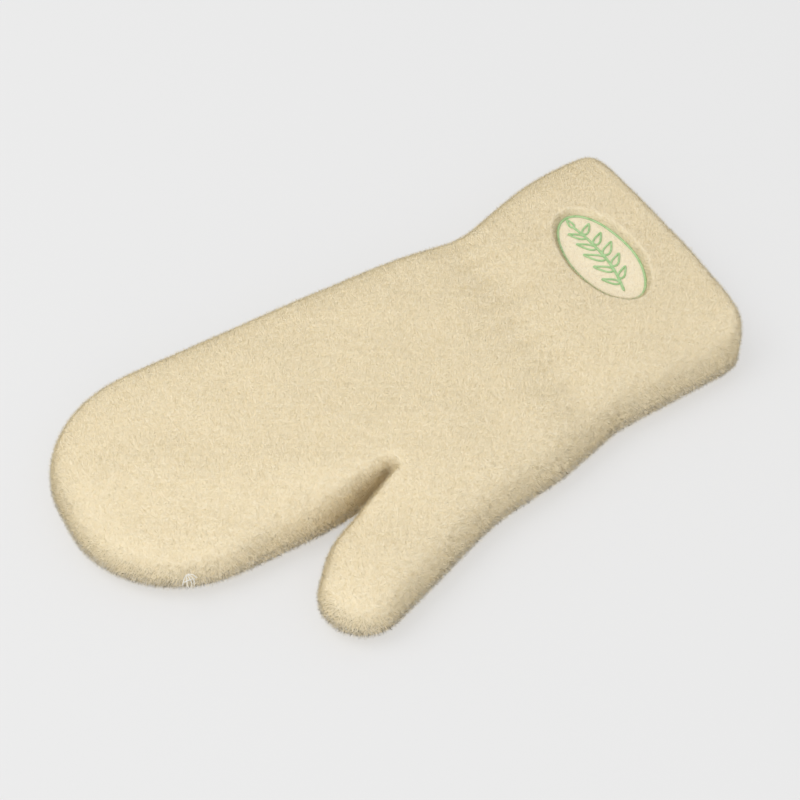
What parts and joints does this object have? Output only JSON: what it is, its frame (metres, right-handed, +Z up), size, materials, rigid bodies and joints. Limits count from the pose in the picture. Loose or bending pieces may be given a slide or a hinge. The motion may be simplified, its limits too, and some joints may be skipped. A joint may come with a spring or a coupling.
{
  "type": "wash mitt",
  "caption": "Plush fleece wash mitt with one thumb, an elastic wrist and a flared doubled cuff with an embroidered oval, lying flat palm down.",
  "frame": {"origin": "on the surface the mitt lies on, under the middle of its box", "axes": "+X from the fingertips to the cuff's mouth, -Y towards the thumb, +Z up from the palm to the back of the hand"},
  "size_m": [0.269, 0.1732, 0.025],
  "materials": {
    "boa_fleece": "matt short curly pile",
    "lining_knit": "smooth fine knit",
    "cream_seam_thread": "spun thread",
    "elastic_band": "woven elastic",
    "green_embroidery_thread": "satin thread",
    "backing_felt": "stiff thin felt"
  },
  "bodies": {
    "hand": {"hand_back_fleece": "boa_fleece", "hand_palm_fleece": "boa_fleece", "hand_back_lining": "lining_knit", "hand_palm_lining": "lining_knit", "hand_side_seam": "cream_seam_thread", "heel_side_seam": "cream_seam_thread", "fingertip_thread_tail": "cream_seam_thread", "wrist_elastic": "elastic_band", "wrist_seam_thread": "cream_seam_thread"},
    "thumb": {"thumb_back_fleece": "boa_fleece", "thumb_palm_fleece": "boa_fleece", "thumb_back_lining": "lining_knit", "thumb_palm_lining": "lining_knit", "thumb_side_seam": "cream_seam_thread"},
    "cuff": {"cuff_back_fleece": "boa_fleece", "cuff_palm_fleece": "boa_fleece", "cuff_back_facing": "boa_fleece", "cuff_palm_facing": "boa_fleece", "cuff_near_seam": "cream_seam_thread", "cuff_far_seam": "cream_seam_thread", "mouth_seam_thread": "cream_seam_thread", "emblem_border": "green_embroidery_thread", "emblem_sprig": "green_embroidery_thread", "emblem_backing": "backing_felt"}
  },
  "joints": [
    {"name": "thumb_swing", "type": "hinge", "parent": "hand", "child": "thumb", "pos_m": [-0.006, -0.047, 0.0125], "axis": [0, 0, 1], "range_deg": [-6, 26]},
    {"name": "wrist_bend", "type": "hinge", "parent": "hand", "child": "cuff", "pos_m": [0.06, 0, 0.0125], "axis": [0, -1, 0], "range_deg": [0, 60]}
  ]
}
